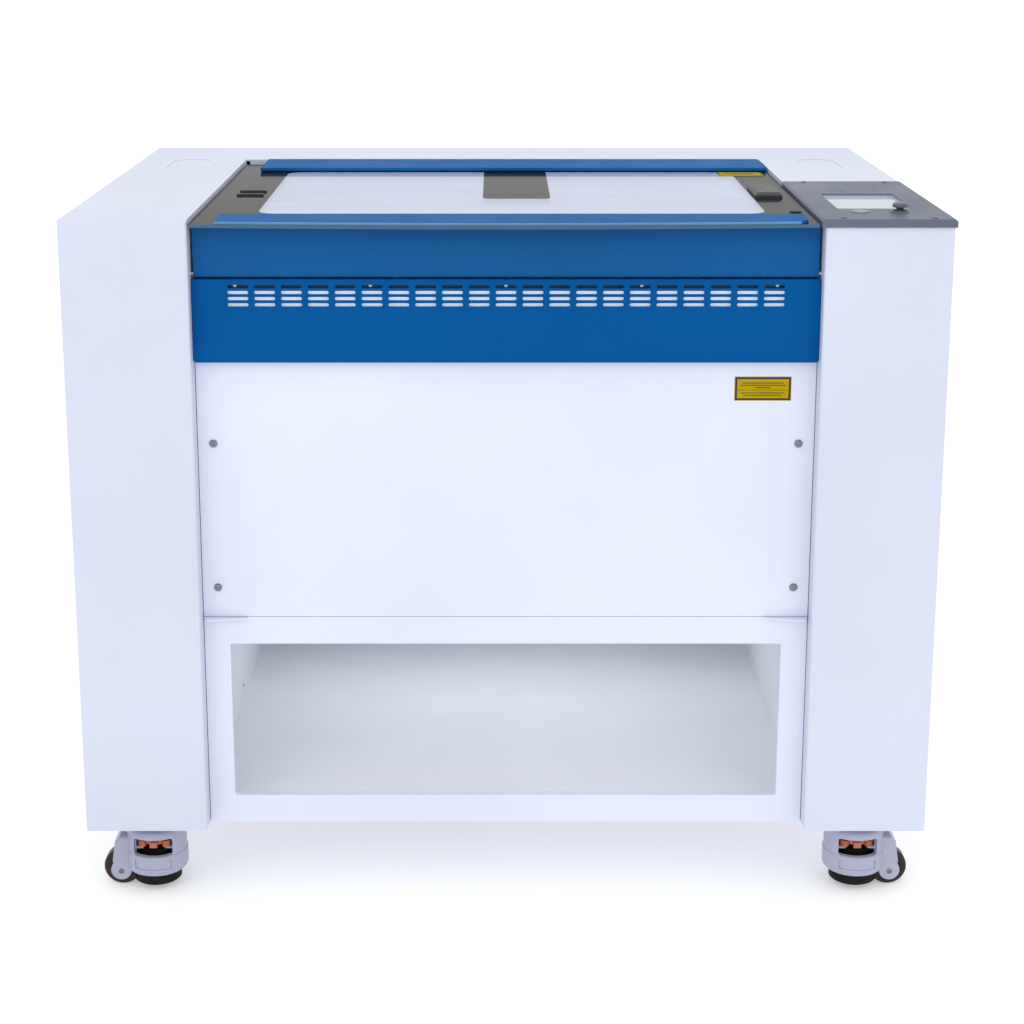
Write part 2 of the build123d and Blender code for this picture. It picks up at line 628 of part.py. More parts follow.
def strut_bar(x, s0, s1, radius):
    y0, z0 = strut_place(s0)
    y1, z1 = strut_place(s1)
    return rod((x, y0, z0), (x, y1, z1), radius)


def strut_cylinder(x):
    """Pressure tube with its eye on the fixed pin."""
    y, z = STRUT_ROOT
    eye = rod((x - 6, y, z), (x + 6, y, z), 8)
    body = eye + strut_bar(x, 6, 198, 8)
    body -= strut_bar(x, 30, 193, 7)
    body -= strut_bar(x, 190, 200, 3.5 + RUN)
    return body - rod((x - 8, y, z), (x + 8, y, z), STRUT_PIN_R + RUN)


def strut_rod(x):
    """Piston rod with the lid-end eye."""
    length = math.hypot(STRUT_LID[0] - STRUT_ROOT[0], STRUT_LID[1] - STRUT_ROOT[1])
    y, z = STRUT_LID
    bar = strut_bar(x, 85, length - 4, 3.5) + strut_bar(x, 85, 93, 7 - RUN)
    side = 1 if x > 0 else -1
    eye = rod((x - side * 4, y, z), (x + side * 4, y, z), 8)
    return bar + eye - rod((x - 8, y, z), (x + 8, y, z), STRUT_PIN_R + RUN)


# ---------------------------------------------------------------- motion system
def gantry_beam():
    """Hollow beam on two rail trucks, with the carriage rail on its front face."""
    beam = box(-514, 514, 250, 290, 1008, 1050)
    beam -= box(-515, 515, 254, 286, 1012, 1028)
    beam -= box(-515, 515, 254, 286, 1032, 1046)
    for z in (1016, 1042):
        beam -= box(-515, 515, 249, 252, z - 3, z + 3)
    beam += box(-478, 478, 243, 250, 1023, 1035)
    truck = box(486, 512, 232, 310, 986, 1008)
    truck -= box(492.5 - RUN, 507.5 + RUN, 231, 311, 985, 995 + RUN)
    y, z = SHAFT_AT
    hanger = box(470, 476, 288, 309, 1008, 1026)
    hanger -= rod((460, y, z), (480, y, z), 4 + RUN)
    return beam + both(truck) + both(hanger)


def y_drive_shaft():
    """Cross shaft with a pinion at each end, carried by the gantry."""
    y, z = SHAFT_AT
    shaft = rod((-521, y, z), (521, y, z), 4)
    for side in (-1, 1):
        shaft += rod((side * 514, y, z), (side * 520, y, z), PINION_R)
        shaft += rod((side * 460, y, z), (side * 468, y, z), 6)
    teeth = Sketch()
    for i in range(12):
        teeth += Rot(0, 0, i * 30) * (Pos(PINION_R, 0) * Circle(0.7))
    plane = Plane(origin=(-521, y, z), z_dir=(1, 0, 0))
    return shaft - extrude(plane * teeth, 8) - extrude(Pos(1034, 0, 0) * (plane * teeth), 8)


def laser_carriage():
    """Carriage on the beam rail with mirror housing, lens tube and nozzle."""
    x = CARRIAGE_X
    body = box(x - 33, x + 33, 222, 249.5, 1000, 1051)
    body -= box(x - 40, x + 40, 242.9, 251, 1022.9, 1035.1)
    head = box(x - 26, x + 26, 190, 222, 1006, 1046)
    head = chamfer(head.edges().filter_by(Axis.Z).group_by(Axis.Y)[0], 6)
    tube = rod((x, 207, 998), (x, 207, 1052), 12)
    knurl = rod((x, 207, 999), (x, 207, 1004), 14)
    nozzle = Pos(x, 207, 991) * Cone(3.5, 11, 14)
    body = body + head + tube + knurl + nozzle
    return body - rod((x, 207, 980), (x, 207, 996), 1.5)


def engraving_table():
    """Lifting bed: frame bars, slats, cross-bars and the two nut lugs, welded together."""
    x, y0, y1 = 465, -385, 235
    low = TABLE_TOP - 25
    parts = [box(-x, x, y0, y0 + 15, low, TABLE_TOP), box(-x, x, y1 - 15, y1, low, TABLE_TOP)]
    for i in range(29):
        sx = -420 + 30 * i
        parts.append(box(sx - 1.5, sx + 1.5, y0 + 15, y1 - 15, TABLE_TOP - 15, TABLE_TOP - 1))
    for y in (-280, -75, 130):
        parts.append(box(-x + 15, x - 15, y - 10, y + 10, low, low + 10))
    sx, sy = SCREW_AT
    lug = box(x, sx + 16, sy - 16, sy + 16, low, low + 13)
    lug -= rod((sx, sy, low - 1), (sx, sy, low + 20), SCREW_R + RUN)
    flank = box(x - 15, x, y0 + 15, y1 - 15, low, TABLE_TOP)
    return Compound(children=parts + [flank, flip(flank), lug, flip(lug)])


def leadscrew(x):
    """Lift screw between its bearings, with a belt pulley below the chamber floor."""
    y = SCREW_AT[1]
    body = rod((x, y, 708.2), (x, y, 965.8), SCREW_R)
    body += rod((x, y, 677), (x, y, 974), 5)
    pulley = rod((x, y, 678), (x, y, 692), 18)
    for z in (678, 690):
        pulley += rod((x, y, z), (x, y, z + 2), 20)
    return body + pulley


# ---------------------------------------------------------------- controls
def joystick_gimbal():
    """Ring that tips fore and aft on trunnions along X."""
    x, y = STICK_AT
    z = STICK_PIVOT_Z
    ring = prism_z(Pos(x, y) * (Circle(9) - Circle(6)), z - 2.5, z + 2.5)
    for side in (-1, 1):
        ring += rod((x + side * 8, y, z), (x + side * 12.6, y, z), 1.2)
        ring -= rod((x, y + side * 5, z), (x, y + side * 10, z), 1.2 + RUN)
    return ring


def joystick():
    """Stick with a mushroom cap, tipping sideways in the gimbal."""
    x, y = STICK_AT
    z = STICK_PIVOT_Z
    hub = rod((x, y, z - 3), (x, y, z + 3), 4.2)
    pins = rod((x, y - 8.6, z), (x, y + 8.6, z), 1.2)
    stem = rod((x, y, z), (x, y, 1100), 3)
    skirt = Pos(x, y, 1096.5) * Cone(4, 7.5, 4)
    cap = rod((x, y, 1098.5), (x, y, 1105.5), 11.5)
    cap = fillet(cap.edges().group_by(Axis.Z)[-1], 4)
    cap = fillet(cap.edges().group_by(Axis.Z)[0], 1.2)
    return hub + pins + stem + skirt + cap


def go_button():
    """Round push button with a stem below."""
    x, y = BUTTON_AT
    cap = rod((x, y, 1084), (x, y, 1092.2), 11.5)
    cap = fillet(cap.edges().group_by(Axis.Z)[-1], 1)
    return cap + rod((x, y, 1072), (x, y, 1085), 5)


# ---------------------------------------------------------------- casters (local: +X outward)
def caster_plate():
    """Fixed top plate with raceway, bored kingpin and retaining flange."""
    plate = prism_z(RectangleRounded(100, 100, 7), 115, 120)
    for sx in (-1, 1):
        for sy in (-1, 1):
            plate -= prism_z(Pos(sx * 40, sy * 40) * SlotOverall(13, 8.5), 114, 121)
    plate += rod((0, 0, 106), (0, 0, 115), 38)
    plate += rod((0, 0, 88), (0, 0, 106), 20)
    plate += rod((0, 0, 84), (0, 0, 88), 26)
    return plate - rod((0, 0, 83), (0, 0, 104), STEM_R + 1)


def wheel_hood():
    """Cheeks and roof over the wheel, with the axle bosses."""
    side_view = Polygon((10, 34), (55, 34), (68.5, 44), (63.5, 80), (56, 88), (10, 88), align=None)
    hood = prism_y(side_view, 24, 48)
    hood = fillet(hood.edges().filter_by(Axis.X).group_by(Axis.Z)[-1], 5)
    hood += rod((WHEEL_OUT, -24, WHEEL_R), (WHEEL_OUT, 24, WHEEL_R), 16.5)
    return hood - box(30, 55, -14, 14, 50, 84)


def swivel_drum():
    """Turned drum: outer wall with a raised band, top wall round the kingpin, shelf under the dial."""
    low, high = DRUM_Z
    r = DRUM_R
    wall = Polyline((40, low), (r - 2, low), (r, low + 2), (r, 35), (r + 1.6, 37), (r + 1.6, 61),
                    (r, 63), (r, high - 9))
    shoulder = ThreePointArc((r, high - 9), (r - 2.64, high - 2.64), (r - 9, high))
    inside = Polyline((r - 9, high), (20 + RUN, high), (20 + RUN, 88.1), (40, 88.1), (40, 73.3),
                      (33, 73.3), (33, 70), (40, 70), (40, low))
    return revolve(Plane.XZ * make_face(wall + shoulder + inside), Axis.Z)


def caster_housing():
    """Swivel body: drum with dial windows and an embossed band, wheel hood and the axle."""
    drum = swivel_drum() + (wheel_hood() - rod((0, 0, 10), (0, 0, 110), 44))
    frame_ring = prism_z(Circle(60) - Circle(DRUM_R + 0.4), 41, 56)
    for side in (-1, 1):
        drum -= prism_y(Pos(0, 77.5) * RectangleRounded(62, 29, 5), side * 40 + 12, 24)
        drum -= frame_ring & box(-29, 29, side * 30, side * 60, 41, 56)
    drum -= rod((WHEEL_OUT, -14, WHEEL_R), (WHEEL_OUT, 14, WHEEL_R), WHEEL_R + 3)
    axle = rod((WHEEL_OUT, -20, WHEEL_R), (WHEEL_OUT, 20, WHEEL_R), 5)
    return drum + axle


def caster_wheel():
    """Solid wheel with a stepped hub and tread edge rounding."""
    half = WHEEL_W / 2
    wheel = rod((WHEEL_OUT, -half, WHEEL_R), (WHEEL_OUT, half, WHEEL_R), WHEEL_R)
    wheel = fillet(wheel.edges().filter_by(GeomType.CIRCLE), 4)
    for side in (-1, 1):
        y0 = side * half
        groove = rod((WHEEL_OUT, y0, WHEEL_R), (WHEEL_OUT, y0 - side * 3, WHEEL_R), 20)
        groove -= rod((WHEEL_OUT, y0, WHEEL_R), (WHEEL_OUT, y0 - side * 3, WHEEL_R), 9)
        wheel -= groove
    return wheel - rod((WHEEL_OUT, -20, WHEEL_R), (WHEEL_OUT, 20, WHEEL_R), 5 + RUN)


def caster_dial():
    """Levelling dial: disc on the foot stem with ten finger lobes."""
    dial = prism_z(Circle(30), 77, 83.5)
    for i in range(10):
        dial += Rot(0, 0, -90 + 36 * i) * prism_z(Pos(32.5, 0) * RectangleRounded(8, 12.5, 2), 74, 83.5)
    return dial - rod((0, 0, 70), (0, 0, 90), STEM_R + RUN)


def caster_foot():
    """Levelling pad with its deep boss and stem, notched round the wheel."""
    notch = Pos(46, 0) * Rectangle(50, 34)
    pad = prism_z(Circle(38) - notch, 10, 31)
    pad = chamfer(pad.edges().group_by(Axis.Z)[0], 1.5)
    boss = prism_z(Circle(30) - notch, 31, 68)
    return pad + boss + rod((0, 0, 67), (0, 0, 100), STEM_R)


def place_caster(shape, side, y):
    turn = 0 if side > 0 else 180
    return Pos(side * CASTER_X, y, 0) * Rot(0, 0, turn) * shape


CORNERS = {
    "front_left": (-1, CASTER_Y[0]),
    "front_right": (1, CASTER_Y[0]),
    "rear_left": (-1, CASTER_Y[1]),
    "rear_right": (1, CASTER_Y[1]),
}

left_casing = tower_casing()
NODES = {
    "base_pan": base_pan(),
    "tower_casing_left": left_casing,
    "tower_casing_right": flip(left_casing),
    "top_cover": top_cover(),
    "rear_panel": rear_panel(),
    "access_panel": access_panel(),
    "lower_front_frame": lower_front_frame(),
    "vent_panel": vent_panel(),
    "vent_backing": vent_backing(),
    "vent_rail": vent_rail(),
    "storage_bay_liner": storage_bay_liner(),
    "chamber_tub": chamber_tub(),
    "control_panel": control_panel(),
    "display": display(),
    "case_fasteners": case_fasteners(),
    "exhaust_port": exhaust_port(),
    "laser_tube": laser_tube(),
    "electronics_tray": electronics_tray(),
    "y_rails": y_rails(),
    "mains_inlet": mains_inlet(),
    "lid_support_brackets": lid_support_brackets(),
    "lid_border": lid_border(),
    "lid_window": lid_window(),
    "lid_frame": lid_frame(),
    "lid_front_bar": lid_front_bar(),
    "lid_rear_bar": lid_rear_bar(),
    "lid_fittings": lid_fittings(),
    "lid_lock": lid_lock(),
    "front_door": front_door(),
    "strut_cylinder_left": strut_cylinder(-STRUT_X),
    "strut_cylinder_right": strut_cylinder(STRUT_X),
    "strut_rod_left": strut_rod(-STRUT_X),
    "strut_rod_right": strut_rod(STRUT_X),
    "gantry_beam": gantry_beam(),
    "laser_carriage": laser_carriage(),
    "y_drive_shaft": y_drive_shaft(),
    "engraving_table": engraving_table(),
    "leadscrew_left": leadscrew(-SCREW_AT[0]),
    "leadscrew_right": leadscrew(SCREW_AT[0]),
    "joystick_gimbal": joystick_gimbal(),
    "joystick": joystick(),
    "go_button": go_button(),
    "power_switch": power_switch(),
}

plate = caster_plate()
NODES["caster_top_plates"] = Compound(
    children=[place_caster(plate, side, y) for side, y in CORNERS.values()])

CASTER_PIECES = {
    "housing": caster_housing(),
    "wheel": caster_wheel(),
    "dial": caster_dial(),
    "foot": caster_foot(),
}
for corner, (side, y) in CORNERS.items():
    for piece, shape in CASTER_PIECES.items():
        NODES[f"caster_{corner}_{piece}"] = place_caster(shape, side, y)

for name, shape in NODES.items():
    export_step(shape, f"parts/{name}.step")
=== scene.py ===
import math

import bmesh
import bpy
from mathutils import Matrix, Vector


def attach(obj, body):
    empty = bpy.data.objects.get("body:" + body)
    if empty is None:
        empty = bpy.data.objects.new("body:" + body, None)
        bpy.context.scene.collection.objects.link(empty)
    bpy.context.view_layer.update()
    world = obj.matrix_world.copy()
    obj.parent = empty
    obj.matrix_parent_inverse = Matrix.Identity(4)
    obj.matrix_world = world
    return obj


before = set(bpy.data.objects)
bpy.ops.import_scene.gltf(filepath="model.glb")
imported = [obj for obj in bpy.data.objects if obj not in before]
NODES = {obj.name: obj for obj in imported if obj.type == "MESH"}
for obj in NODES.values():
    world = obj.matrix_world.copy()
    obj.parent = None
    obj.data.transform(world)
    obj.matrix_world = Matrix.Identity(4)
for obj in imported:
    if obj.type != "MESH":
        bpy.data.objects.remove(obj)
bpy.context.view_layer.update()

# ---------------------------------------------------------------- camera
# The photograph's lens was shifted further: more than this cuts the open lid off in other views
TILT_DOWN = 13.09
scene = bpy.context.scene
cam_data = bpy.data.cameras.new("camera")
cam_data.lens = 70.62
cam_data.sensor_width = 36.0
cam_data.shift_x = 0.0161
cam_data.shift_y = -0.13
cam_data.clip_start = 0.05
cam_data.clip_end = 60.0
camera = bpy.data.objects.new("camera", cam_data)
scene.collection.objects.link(camera)
camera.location = (-0.0158, -3.40, 1.53)
camera.rotation_euler = (math.radians(90 - TILT_DOWN), 0, 0)
scene.camera = camera
scene.view_settings.view_transform = "Standard"
scene.view_settings.look = "None"


# ---------------------------------------------------------------- materials
# Noise scales, per metre, and bump depths, in metres
PAINT_PEEL = 900.0
MOULD_GRAIN = 1400.0
PEEL_DEPTH = 0.00025
GRAIN_DEPTH = 0.0002


def new_material(name):
    """Empty procedural material, with its node tree and its shader."""
    mat = bpy.data.materials.new(name)
    mat.use_nodes = True
    tree = mat.node_tree
    return mat, tree, tree.nodes["Principled BSDF"]


def noise(tree, scale, detail=3.0, rough=0.5, stretch=None):
    """Noise in the part's own frame."""
    coords = tree.nodes.new("ShaderNodeTexCoord")
    source = coords.outputs["Object"]
    if stretch:
        mapping = tree.nodes.new("ShaderNodeMapping")
        mapping.inputs["Scale"].default_value = stretch
        tree.links.new(source, mapping.inputs["Vector"])
        source = mapping.outputs["Vector"]
    node = tree.nodes.new("ShaderNodeTexNoise")
    node.inputs["Scale"].default_value = scale
    node.inputs["Detail"].default_value = detail
    node.inputs["Roughness"].default_value = rough
    tree.links.new(source, node.inputs["Vector"])
    return node.outputs["Fac"]


def spread(tree, fac, low, high):
    """Stretches the middle of a noise to the range from low to high."""
    node = tree.nodes.new("ShaderNodeMapRange")
    node.inputs["From Min"].default_value = 0.3
    node.inputs["From Max"].default_value = 0.7
    node.inputs["To Min"].default_value = low
    node.inputs["To Max"].default_value = high
    tree.links.new(fac, node.inputs["Value"])
    return node.outputs["Result"]


def two_tone(tree, fac, dark, light):
    """Colour that drifts between two close shades with a noise."""
    ramp = tree.nodes.new("ShaderNodeValToRGB")
    low, high = ramp.color_ramp.elements
    low.position = 0.35
    low.color = (*dark, 1)
    high.position = 0.65
    high.color = (*light, 1)
    tree.links.new(fac, ramp.inputs["Fac"])
    return ramp.outputs["Color"]


def bump(tree, shader, height, strength, distance):
    """Relief on the surface from a noise."""
    node = tree.nodes.new("ShaderNodeBump")
    node.inputs["Strength"].default_value = strength
    node.inputs["Distance"].default_value = distance
    tree.links.new(height, node.inputs["Height"])
    tree.links.new(node.outputs["Normal"], shader.inputs["Normal"])


def scaled(color, factor):
    return tuple(min(1.0, channel * factor) for channel in color)


def drifting_colour(tree, shader, fac, color, drift):
    """Base colour within drift of the given one."""
    colour = two_tone(tree, fac, scaled(color, 1 - drift), scaled(color, 1 + drift))
    tree.links.new(colour, shader.inputs["Base Color"])


def powder_coat(name, color, rough=0.42, strength=0.18, drift=0.03, level=0.4):
    """Sprayed paint: orange peel in the surface, faint patchiness in colour and gloss."""
    mat, tree, shader = new_material(name)
    drifting_colour(tree, shader, noise(tree, 2.2, 4.0, 0.55), color, drift)
    fine = noise(tree, PAINT_PEEL, 2.0, 0.6)
    smear = noise(tree, 9.0, 5.0, 0.6)
    tree.links.new(spread(tree, smear, rough - 0.05, rough + 0.06), shader.inputs["Roughness"])
    bump(tree, shader, fine, strength, PEEL_DEPTH)
    shader.inputs["Specular IOR Level"].default_value = level
    return mat


def metal(name, color, rough=0.3, stretch=(1, 1, 1), scale=260.0, strength=0.1, drift=0.08):
    """Machined or drawn metal with a grain along its length."""
    mat, tree, shader = new_material(name)
    grain = noise(tree, scale, 3.0, 0.6, stretch)
    drifting_colour(tree, shader, grain, color, drift)
    tree.links.new(spread(tree, grain, rough - 0.06, rough + 0.08), shader.inputs["Roughness"])
    bump(tree, shader, grain, strength, GRAIN_DEPTH)
    shader.inputs["Metallic"].default_value = 1.0
    return mat


def plastic(name, color, rough=0.5, strength=0.25, drift=0.10, level=0.5):
    """Moulded plastic or rubber with a spark-eroded grain."""
    mat, tree, shader = new_material(name)
    patch = noise(tree, 30.0, 3.0, 0.6)
    drifting_colour(tree, shader, patch, color, drift)
    fine = noise(tree, MOULD_GRAIN, 2.0, 0.5)
    tree.links.new(spread(tree, patch, rough - 0.06, rough + 0.08), shader.inputs["Roughness"])
    shader.inputs["Specular IOR Level"].default_value = level
    bump(tree, shader, fine, strength, GRAIN_DEPTH)
    return mat


def gloss(name, color, rough=0.05, smear=0.04, alpha=1.0, level=0.5):
    """Glass face: dark print or clear, with faint wiping marks in its gloss."""
    mat, tree, shader = new_material(name)
    patch = noise(tree, 6.0, 5.0, 0.65, (1, 3, 1))
    drifting_colour(tree, shader, patch, color, 0.04)
    tree.links.new(spread(tree, patch, rough, rough + smear), shader.inputs["Roughness"])
    shader.inputs["Specular IOR Level"].default_value = level
    shader.inputs["Alpha"].default_value = alpha
    return mat


def light_source(name, color, strength):
    """Glowing lamp cover."""
    mat, tree, shader = new_material(name)
    patch = noise(tree, 60.0, 2.0, 0.5)
    colour = two_tone(tree, patch, scaled(color, 0.96), color)
    tree.links.new(colour, shader.inputs["Base Color"])
    tree.links.new(colour, shader.inputs["Emission Color"])
    shader.inputs["Emission Strength"].default_value = strength
    shader.inputs["Roughness"].default_value = 0.4
    return mat


BODY = powder_coat("body_white", (0.615, 0.655, 0.785), 0.45)
PANEL = powder_coat("panel_white", (0.700, 0.742, 0.880), 0.40)
INNER = powder_coat("inner_white", (0.84, 0.865, 0.92), 0.5)
# The backing is white like the inner walls, but it is made lighter and bluer than them as painted light
# for the dim gap behind the vent slots
BACKING_PAINTED_LIGHT = powder_coat("backing_white_painted_light", (0.88, 0.94, 0.98), 0.5)
DOOR = powder_coat("door_blue", (0.007, 0.098, 0.300), 0.40, strength=0.12, drift=0.05, level=0.06)
VENT = powder_coat("vent_blue", (0.0010, 0.082, 0.285), 0.40, strength=0.12, drift=0.05, level=0.03)
BAR = powder_coat("bar_blue", (0.014, 0.115, 0.335), 0.42, strength=0.1, drift=0.05, level=0.006)
# Painted highlight: a paler copy of the bar blue for the bar's front faces, standing in for light caught
# by its bevel
BAR_PAINTED_HIGHLIGHT = powder_coat("bar_painted_highlight", (0.11, 0.30, 0.54), 0.30, strength=0.1, drift=0.05, level=0.3)
GUNMETAL = powder_coat("gunmetal", (0.125, 0.143, 0.202), 0.40, strength=0.2, drift=0.05, level=0.10)
BLACK_METAL = powder_coat("black_metal", (0.02, 0.02, 0.023), 0.42, drift=0.15)
DARK_RAIL = powder_coat("dark_rail", (0.02, 0.045, 0.10), 0.5, drift=0.1)
CASTER = powder_coat("caster_grey", (0.38, 0.39, 0.51), 0.36, strength=0.25, drift=0.05)
STEEL = metal("steel", (0.60, 0.61, 0.63), 0.3, (1, 1, 12))
ALUMINIUM = metal("aluminium", (0.80, 0.81, 0.82), 0.36, (12, 1, 1), strength=0.06, drift=0.05)
TABLE = metal("table_aluminium", (0.80, 0.81, 0.82), 0.42, (1, 14, 1), strength=0.06, drift=0.06)
ZINC = metal("zinc", (0.62, 0.64, 0.68), 0.32, scale=120.0, drift=0.12)
CHROME = metal("chrome", (0.85, 0.85, 0.87), 0.08, strength=0.02, drift=0.03)
DARK_STEEL = metal("dark_steel", (0.20, 0.22, 0.26), 0.28, drift=0.1)
BLACK_PLASTIC = plastic("black_plastic", (0.022, 0.022, 0.025), 0.48)
ORANGE = plastic("dial_orange", (0.56, 0.15, 0.055), 0.45)
WHEEL = plastic("wheel_brown", (0.028, 0.013, 0.013), 0.35, level=0.3)
PAD = plastic("pad_black", (0.009, 0.009, 0.010), 0.6, level=0.12)
SLATE_PLASTIC = plastic("slate_plastic", (0.036, 0.040, 0.048), 0.45)
STICK_GREY = plastic("stick_grey", (0.105, 0.130, 0.142), 0.42)
BUTTON_GREY = plastic("button_grey", (0.24, 0.26, 0.32), 0.40)
GROOVE = plastic("groove_shade", (0.085, 0.095, 0.135), 0.6, level=0.1)
PRINTED = gloss("printed_glass", (0.018, 0.017, 0.022), 0.08, level=0.008)
# Painted reflection: the clear lid window gets a pale lavender base colour at alpha 0.64, standing in for
# bright light reflected in the glass
CLEAR_PAINTED_REFLECTION = gloss("clear_glass", (0.68, 0.755, 1.0), 0.04, 0.03, alpha=0.64, level=0.2)
GLASS_EDGE = gloss("glass_edge", (0.045, 0.115, 0.185), 0.15, level=0.3)
SCREEN = gloss("screen", (0.46, 0.50, 0.60), 0.08, level=0.1)
LIGHT_BAR = light_source("light_bar", (0.95, 0.97, 1.0), 3.0)
YELLOW = plastic("label_yellow", (0.45, 0.315, 0.004), 0.5, strength=0.05, drift=0.04, level=0.02)
LABEL_BLACK = plastic("label_black", (0.012, 0.012, 0.012), 0.4, strength=0.05)

LOOKS = {
    BODY: ["base_pan", "tower_casing_left", "tower_casing_right", "top_cover", "rear_panel"],
    PANEL: ["access_panel", "lower_front_frame"],
    INNER: ["storage_bay_liner", "chamber_tub"],
    BACKING_PAINTED_LIGHT: ["vent_backing"],
    DOOR: ["front_door"],
    VENT: ["vent_panel"],
    BAR: ["lid_front_bar", "lid_rear_bar"],
    GUNMETAL: ["control_panel"],
    DARK_RAIL: ["vent_rail"],
    BLACK_METAL: ["lid_frame", "lid_lock", "strut_cylinder_left", "strut_cylinder_right",
                  "laser_carriage"],
    STEEL: ["y_rails", "exhaust_port", "lid_support_brackets", "y_drive_shaft", "leadscrew_left",
            "leadscrew_right", "joystick_gimbal"],
    ALUMINIUM: ["laser_tube", "gantry_beam"],
    TABLE: ["engraving_table"],
    ZINC: ["case_fasteners", "electronics_tray"],
    CHROME: ["strut_rod_left", "strut_rod_right"],
    BLACK_PLASTIC: ["mains_inlet", "power_switch"],
    BUTTON_GREY: ["go_button"],
    SLATE_PLASTIC: ["lid_fittings"],
    STICK_GREY: ["joystick"],
    PRINTED: ["lid_border"],
    CLEAR_PAINTED_REFLECTION: ["lid_window"],
    SCREEN: ["display"],
    CASTER: ["caster_top_plates"],
}
# Side and depth of each caster
CORNERS = {"front_left": (-1, -0.410), "front_right": (1, -0.410),
           "rear_left": (-1, 0.380), "rear_right": (1, 0.380)}
for corner in CORNERS:
    LOOKS[CASTER].append(f"caster_{corner}_housing")
    LOOKS.setdefault(WHEEL, []).append(f"caster_{corner}_wheel")
    LOOKS.setdefault(ORANGE, []).append(f"caster_{corner}_dial")
    LOOKS.setdefault(PAD, []).append(f"caster_{corner}_foot")

# Widths of the rounded sheet edges
SOFT_EDGES = {"tower_casing_left": 0.0008, "tower_casing_right": 0.0008, "access_panel": 0.0007,
              "lower_front_frame": 0.0007, "control_panel": 0.0004, "lid_rear_bar": 0.0006}

for material, names in LOOKS.items():
    for name in names:
        node = NODES[name]
        node.data.materials.clear()
        node.data.materials.append(material)


def second_look(name, material, chosen):
    """Gives the chosen faces of a node a second material."""
    mesh = NODES[name].data
    mesh.materials.append(material)
    for face in mesh.polygons:
        if chosen(face):
            face.material_index = 1


GLASS_FRONT_Y = -0.478
GROOVES_LOW = (0.512, -0.172, 1.0900)
GROOVES_HIGH = (0.610, -0.096, 1.0909)
CONTROL_SCREWS_Z = 1.086
ACCESS_SCREWS_Y = -0.44
ACCESS_SCREWS_Z = 0.86


def is_glass_edge(face):
    """The print stops short of the cut front edge of the lid glass."""
    return face.normal.y < -0.3 and face.center.y < GLASS_FRONT_Y


def is_bar_painted_highlight(face):
    """Painted highlight: paler blue on the front faces of the lid's bar, in place of light caught by its
    bevel.
    """
    return face.normal.y < -0.8


def is_groove_floor(face):
    """Shaded floors of the three grooves behind the screen."""
    return all(low < at < high for low, at, high in zip(GROOVES_LOW, face.center, GROOVES_HIGH))


def is_dark_screw(face):
    """Blackened screws in the control panel and the access panel."""
    if face.center.z > CONTROL_SCREWS_Z:
        return True
    return face.center.y < ACCESS_SCREWS_Y and face.center.z < ACCESS_SCREWS_Z


second_look("lid_border", GLASS_EDGE, is_glass_edge)
second_look("lid_front_bar", BAR_PAINTED_HIGHLIGHT, is_bar_painted_highlight)
second_look("control_panel", GROOVE, is_groove_floor)
second_look("case_fasteners", DARK_STEEL, is_dark_screw)


# ---------------------------------------------------------------- mesh helpers
def add_object(name, mesh, material, body):
    """Piece that rides on a body, with the given finish."""
    obj = bpy.data.objects.new(name, mesh)
    scene.collection.objects.link(obj)
    mesh.materials.append(material)
    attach(obj, body)


def mesh_from(bm, name):
    """Mesh with its faces turned outwards."""
    bmesh.ops.recalc_face_normals(bm, faces=bm.faces)
    mesh = bpy.data.meshes.new(name)
    bm.to_mesh(mesh)
    bm.free()
    return mesh


def add_block(bm, lo, hi):
    """Block between two corners."""
    size = Vector(hi) - Vector(lo)
    centre = (Vector(hi) + Vector(lo)) / 2
    matrix = Matrix.Translation(centre) @ Matrix.Diagonal((*size, 1))
    bmesh.ops.create_cube(bm, size=1, matrix=matrix)


def lathe(bm, profile, place, steps):
    """Turns (radius, height) points round the Z axis of place."""
    rings = []
    for radius, height in profile:
        ring = []
        for i in range(steps):
            angle = 2 * math.pi * i / steps
            point = Vector((radius * math.cos(angle), radius * math.sin(angle), height))
            ring.append(bm.verts.new(place @ point))
        rings.append(ring)
    for low, high in zip(rings, rings[1:]):
        for i in range(steps):
            j = (i + 1) % steps
            bm.faces.new((low[i], low[j], high[j], high[i]))
    bm.faces.new(rings[0])
    bm.faces.new(rings[-1])


def smooth(mesh):
    """Smooth shading that keeps the hard edges."""
    for face in mesh.polygons:
        face.use_smooth = True
    mesh.set_sharp_from_angle(angle=math.radians(35))


def facing(x, y, z, direction):
    """Frame at a point with its Z axis along direction."""
    turn = Vector(direction).to_track_quat("Z", "Y").to_matrix().to_4x4()
    return Matrix.Translation((x, y, z)) @ turn


def add_turned(name, profile, places, steps, material, body):
    """One smooth piece made of the same turned shape at each place."""
    bm = bmesh.new()
    for place in places:
        lathe(bm, profile, place, steps)
    mesh = mesh_from(bm, name)
    smooth(mesh)
    add_object(name, mesh, material, body)


# ---------------------------------------------------------------- details
# A label is four thin layers: sheet, dark edge, field and bars. These are the heights they start at.
LABEL_SHEET = 0.0003
LABEL_EDGE = 0.0004
LABEL_FIELD = 0.0005
LABEL_LAYER = 0.0001
LABEL_BAR = 0.00015
EDGE_INSET = 0.0009
FIELD_INSET = 0.0040


